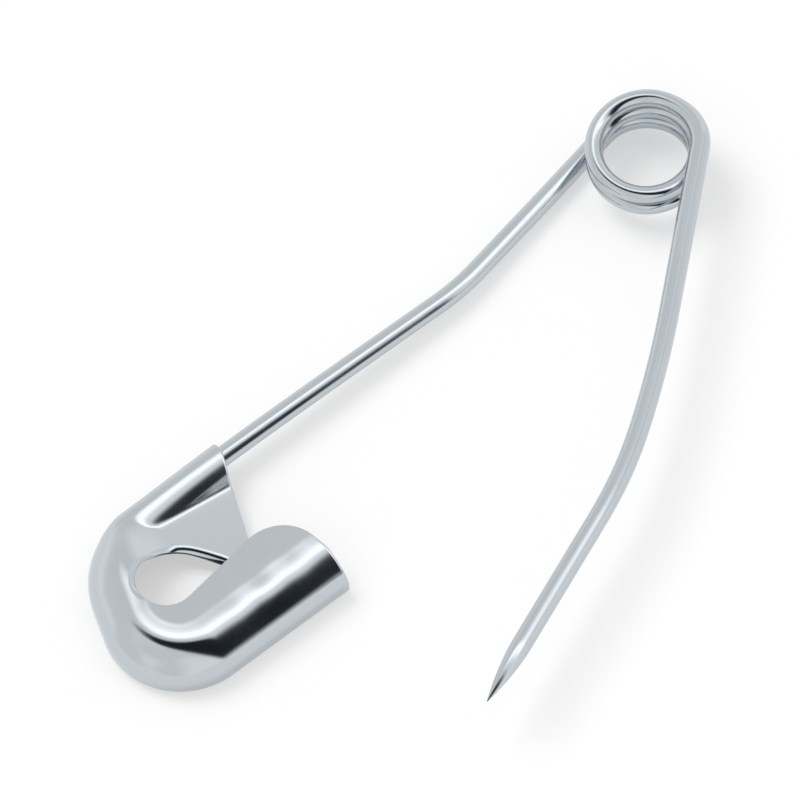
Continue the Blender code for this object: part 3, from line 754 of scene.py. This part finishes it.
def add_object(name, body):
    """A mesh object from a bmesh in mm, smooth shaded and scaled to metres."""
    for face in body.faces:
        face.smooth = True
    body.transform(Matrix.Scale(MM, 4))
    mesh = bpy.data.meshes.new(name)
    body.to_mesh(mesh)
    body.free()
    made = bpy.data.objects.new(name, mesh)
    scene.collection.objects.link(made)
    return made


def rounded_shell(body, thickness, bulge, steps):
    """Give an open skin an inner face and rounded edges, in place."""
    body.normal_update()
    outer_faces = list(body.faces)
    outer_verts = list(body.verts)
    rim_edges = [edge for edge in body.edges if edge.is_boundary]
    away = {}
    for edge in rim_edges:
        face = edge.link_faces[0]
        along = (edge.verts[1].co - edge.verts[0].co).normalized()
        side = along.cross(face.normal)
        if side.dot(face.calc_center_median() - edge.verts[0].co) > 0.0:
            side = -side
        for vert in edge.verts:
            away[vert] = away.get(vert, Vector()) + side.normalized()
    inner = {vert: body.verts.new(vert.co - vert.normal * thickness) for vert in outer_verts}
    rims = {}
    for vert, side in away.items():
        side = side.normalized()
        middle = vert.co - vert.normal * (thickness / 2.0)
        ring = [vert]
        for step in range(1, steps):
            angle = math.pi * step / steps
            ring.append(body.verts.new(middle + vert.normal * (math.cos(angle) * thickness / 2.0)
                                       + side * (math.sin(angle) * bulge)))
        rims[vert] = ring + [inner[vert]]
    for face in outer_faces:
        body.faces.new([inner[vert] for vert in reversed(face.verts)])
    for edge in rim_edges:
        loop = edge.link_loops[0]
        behind = rims[loop.vert]
        ahead = rims[loop.link_loop_next.vert]
        for step in range(steps):
            body.faces.new((ahead[step], behind[step], behind[step + 1], ahead[step + 1]))


def build_cap():
    """The folded sheet: sections side by side, joined along the seam of the back sheet."""
    places = outline_places()
    edges = [front_edge(place[0], place[1]) for place in places]
    sections = []
    for index, place in enumerate(places):
        along = edges[min(index + 1, len(edges) - 1)] - edges[max(index - 1, 0)]
        edge_inward = Vector((along.y, -along.x, 0.0)).normalized()
        if edge_inward.dot(place[3]) > 0.0:
            edge_inward = -edge_inward
        sections.append(section(place, edge_inward))
    body = bmesh.new()
    rows = [[body.verts.new(point) for point in skin] for skin in sections]
    for step in range(SEAM_STATIONS + 1):
        spare = rows[-1 - step][-1]
        rows[-1 - step][-1] = rows[step][-1]
        body.verts.remove(spare)
    for row, following in zip(rows, rows[1:]):
        for step in range(len(row) - 1):
            body.faces.new((row[step], row[step + 1], following[step + 1], following[step]))
    rounded_shell(body, SHEET, RIM_BULGE, RIM_STEPS)
    return add_object("cap_sheet", body)


def build_wire(name, points, radii):
    """A round wire swept along the points, closed at both ends."""
    body = bmesh.new()
    side = Vector((0.0, 0.0, 1.0))
    rings = []
    for index, point in enumerate(points):
        along = (points[min(index + 1, len(points) - 1)] - points[max(index - 1, 0)]).normalized()
        side = (side - along * side.dot(along)).normalized()
        other = along.cross(side)
        ring = []
        for step in range(WIRE_SIDES):
            turn = 2.0 * math.pi * step / WIRE_SIDES
            outward = math.cos(turn) * side + math.sin(turn) * other
            ring.append(body.verts.new(point + radii[index] * outward))
        rings.append(ring)
    for ring, following in zip(rings, rings[1:]):
        for step in range(WIRE_SIDES):
            ahead = (step + 1) % WIRE_SIDES
            body.faces.new((ring[step], ring[ahead], following[ahead], following[step]))
    for cut in (body.faces.new(list(reversed(rings[0]))), body.faces.new(rings[-1])):
        for edge in cut.edges:
            edge.smooth = False
    return add_object(name, body)


# Shader nodes

def link(tree, source, target):
    tree.links.new(source, target)


def add_node(tree, kind, **settings):
    node = tree.nodes.new(kind)
    for key, value in settings.items():
        setattr(node, key, value)
    return node


def mapped(tree, source, from_range, to_range, kind):
    """Turn a value in one range into a value in another one."""
    made = add_node(tree, "ShaderNodeMapRange", interpolation_type=kind)
    made.inputs["From Min"].default_value = from_range[0]
    made.inputs["From Max"].default_value = from_range[1]
    made.inputs["To Min"].default_value = to_range[0]
    made.inputs["To Max"].default_value = to_range[1]
    link(tree, source, made.inputs["Value"])
    return made.outputs["Result"]


def soft_ramp(tree, source, ends, most=1.0):
    """Ease from 0, where the value is at the first end, to the most at the second one."""
    return mapped(tree, source, ends, (0.0, most), "SMOOTHSTEP")


def math_node(tree, operation, first, second=None):
    made = add_node(tree, "ShaderNodeMath", operation=operation)
    link(tree, first, made.inputs[0])
    if second is not None:
        link(tree, second, made.inputs[1])
    return made.outputs["Value"]


def product(tree, shares):
    """Multiply some values into one."""
    whole = shares[0]
    for share in shares[1:]:
        whole = math_node(tree, "MULTIPLY", whole, share)
    return whole


def facing(tree, source, way):
    """How far a direction points along a fixed one."""
    made = add_node(tree, "ShaderNodeVectorMath", operation="DOT_PRODUCT")
    made.inputs[1].default_value = way
    link(tree, source, made.inputs[0])
    return made.outputs["Value"]


def noise(tree, place, scale, detail):
    made = add_node(tree, "ShaderNodeTexNoise")
    made.inputs["Scale"].default_value = scale
    made.inputs["Detail"].default_value = detail
    link(tree, place, made.inputs["Vector"])
    return made.outputs["Fac"]


def color_mix(tree, factor, first, second):
    """Mix two colours, of which the first may come from another node."""
    made = add_node(tree, "ShaderNodeMix", data_type="RGBA")
    link(tree, factor, made.inputs["Factor"])
    if isinstance(first, tuple):
        made.inputs["A"].default_value = (*first, 1.0)
    else:
        link(tree, first, made.inputs["A"])
    made.inputs["B"].default_value = (*second, 1.0)
    return made.outputs["Result"]


# Materials

def new_material(name):
    """A material, its node tree and its shader."""
    material = bpy.data.materials.new(name)
    material.use_nodes = True
    return material, material.node_tree, material.node_tree.nodes["Principled BSDF"]


def plated_metal(name, base, rough, grain_scale, grain_depth):
    """Bright nickel plate: uneven polish, a faint cloud of handling, and fine grain."""
    material, tree, shader = new_material(name)
    shader.inputs["Metallic"].default_value = 1.0
    place = add_node(tree, "ShaderNodeTexCoord").outputs["Object"]
    handling = noise(tree, place, HANDLING_SCALE, HANDLING_DETAIL)
    rough_range = [rough * share for share in HANDLING_ROUGH_SHARES]
    roughness = mapped(tree, handling, HANDLING_RANGE, rough_range, "LINEAR")
    link(tree, roughness, shader.inputs["Roughness"])
    dull = tuple(part * share for part, share in zip(base, HANDLING_DULL))
    link(tree, color_mix(tree, handling, dull, base), shader.inputs["Base Color"])
    bump = add_node(tree, "ShaderNodeBump")
    bump.inputs["Strength"].default_value = GRAIN_STRENGTH
    bump.inputs["Distance"].default_value = grain_depth
    link(tree, noise(tree, place, grain_scale, GRAIN_DETAIL), bump.inputs["Height"])
    link(tree, bump.outputs["Normal"], shader.inputs["Normal"])
    return material


def pale_floor():
    """Matt grey, mixed with plain white for the rays that show the floor."""
    material, tree, shader = new_material("pale_floor")
    shader.inputs["Base Color"].default_value = FLOOR_COLOR
    shader.inputs["Roughness"].default_value = 1.0
    shader.inputs["Specular IOR Level"].default_value = 0.0
    rays = add_node(tree, "ShaderNodeLightPath")
    seen = math_node(tree, "MAXIMUM", rays.outputs["Is Camera Ray"], rays.outputs["Is Glossy Ray"])
    seen = math_node(tree, "MAXIMUM", seen, rays.outputs["Is Transmission Ray"])
    white = add_node(tree, "ShaderNodeEmission")
    white.inputs["Color"].default_value = (1.0, 1.0, 1.0, 1.0)
    white.inputs["Strength"].default_value = 1.0
    blend = add_node(tree, "ShaderNodeMixShader")
    link(tree, soft_ramp(tree, seen, (0.0, 1.0), FLOOR_WHITE_SHARE), blend.inputs["Fac"])
    link(tree, shader.outputs["BSDF"], blend.inputs[1])
    link(tree, white.outputs["Emission"], blend.inputs[2])
    link(tree, blend.outputs["Shader"], tree.nodes["Material Output"].inputs["Surface"])
    return material


def dress(obj, material):
    obj.data.materials.append(material)


# The pin

cap_metal = plated_metal("bright_plate_cap", CAP_COLOR, CAP_ROUGH, CAP_GRAIN_SCALE, CAP_GRAIN_DEPTH)
wire_metal = plated_metal("bright_plate_wire", WIRE_COLOR, WIRE_ROUGH, WIRE_GRAIN_SCALE, WIRE_GRAIN_DEPTH)

cap = build_cap()
dress(cap, cap_metal)
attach(cap, "fixed_frame")
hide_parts("clasp_cap")

spine_points, spine_radii = spine_route()
spine = build_wire("wire_fixed_arm", spine_points, spine_radii)
dress(spine, wire_metal)
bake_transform(spine)
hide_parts("spine_arm")

coil_points, coil_radii = coil_route()
coil = build_wire("wire_coil", coil_points, coil_radii)
dress(coil, wire_metal)
coil_top_z = COIL_BASE_Z + coil_climb(coil_turn_deg())
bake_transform(coil)
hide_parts("spring_coil")

pin_points, pin_radii = pin_route()
pin = build_wire("wire_point_arm", pin_points, pin_radii)
dress(pin, wire_metal)
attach(pin, "point_arm")
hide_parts("pin_arm")


# Camera, floor and light

def add_camera():
    """A long lens from far off, so that the view is nearly parallel."""
    tilt = math.radians(CAMERA_TILT_DEG)
    toward = heading(CAMERA_FROM_DEG) * math.sin(tilt) + Vector((0.0, 0.0, math.cos(tilt)))
    level_side = heading(CAMERA_FROM_DEG + 90.0)
    level_down = heading(CAMERA_FROM_DEG) * math.cos(tilt) - Vector((0.0, 0.0, math.sin(tilt)))
    picture_side = heading(CAMERA_ROLL_AZIMUTH_DEG + 90.0)
    picture_down = heading(CAMERA_ROLL_AZIMUTH_DEG)
    right = picture_side.x * level_side + picture_down.x * level_down
    up = picture_side.y * level_side + picture_down.y * level_down
    camera_data = bpy.data.cameras.new("camera")
    camera_data.sensor_width = CAMERA_SENSOR_MM
    camera_data.lens = CAMERA_SENSOR_MM * CAMERA_DISTANCE / VIEW_WIDTH
    camera_data.clip_end = CAMERA_CLIP_END
    camera = bpy.data.objects.new("camera", camera_data)
    turn = Matrix((right, up, toward)).transposed().to_4x4()
    camera.matrix_world = Matrix.Translation(AIM + toward * CAMERA_DISTANCE) @ turn
    scene.collection.objects.link(camera)
    scene.camera = camera


def add_floor():
    mesh = bpy.data.meshes.new("floor")
    corners = [(-FLOOR_HALF, -FLOOR_HALF, 0.0), (FLOOR_HALF, -FLOOR_HALF, 0.0),
               (FLOOR_HALF, FLOOR_HALF, 0.0), (-FLOOR_HALF, FLOOR_HALF, 0.0)]
    mesh.from_pydata(corners, [], [(0, 1, 2, 3)])
    made = bpy.data.objects.new("floor", mesh)
    scene.collection.objects.link(made)
    dress(made, pale_floor())
    return made


def add_sky():
    """The studio's sky, which lights the pin and shows in its plate."""
    world = bpy.data.worlds.new("studio")
    scene.world = world
    world.use_nodes = True
    tree = world.node_tree
    tree.nodes.clear()
    look = add_node(tree, "ShaderNodeTexCoord")
    turned = add_node(tree, "ShaderNodeVectorRotate", rotation_type="Z_AXIS")
    turned.inputs["Angle"].default_value = math.radians(SKY_TURN_DEG)
    link(tree, look.outputs["Generated"], turned.inputs["Vector"])
    way = turned.outputs["Vector"]
    height = facing(tree, way, SKY_UP)
    sideways = facing(tree, way, SKY_SIDE)
    across = facing(tree, way, STRIP_PLANE)
    strip = product(tree, [
        soft_ramp(tree, math_node(tree, "ABSOLUTE", across), STRIP_RANGE),
        soft_ramp(tree, height, STRIP_HEIGHTS),
        soft_ramp(tree, sideways, STRIP_SIDES),
    ])
    flag = product(tree, [
        soft_ramp(tree, across, FLAG_RANGE),
        soft_ramp(tree, facing(tree, way, FLAG_PLANE), FLAG_ENDS),
        soft_ramp(tree, height, FLAG_HEIGHTS),
        soft_ramp(tree, sideways, FLAG_SIDES),
    ])
    cloudy = soft_ramp(tree, noise(tree, way, SKY_NOISE_SCALE, SKY_NOISE_DETAIL), SKY_NOISE_RANGE)
    shaded = soft_ramp(tree, facing(tree, way, SHADED_WAY), SHADED_RANGE)
    pale = color_mix(tree, cloudy, SKY_LOW, SKY_HIGH)
    pale = color_mix(tree, shaded, pale, SHADED_PALE)
    glow = color_mix(tree, strip, pale, STRIP_GLOW)
    background = add_node(tree, "ShaderNodeBackground")
    background.inputs["Strength"].default_value = 1.0
    link(tree, color_mix(tree, flag, glow, FLAG_DARK), background.inputs["Color"])
    sky_out = add_node(tree, "ShaderNodeOutputWorld")
    link(tree, background.outputs["Background"], sky_out.inputs["Surface"])


def add_sun():
    """One soft sun, kept out of reflections."""
    data = bpy.data.lights.new("soft_sun", "SUN")
    data.energy = SUN_STRENGTH
    data.angle = math.radians(SUN_WIDTH_DEG)
    sun = bpy.data.objects.new("soft_sun", data)
    height = math.radians(SUN_HEIGHT_DEG)
    sun_way = heading(SUN_FROM_DEG) * math.cos(height) + Vector((0.0, 0.0, math.sin(height)))
    sun.rotation_euler = sun_way.to_track_quat("Z", "Y").to_euler()
    scene.collection.objects.link(sun)
    sun.visible_glossy = False


add_camera()
scene.view_settings.view_transform = "Standard"
floor = add_floor()
add_sky()
add_sun()
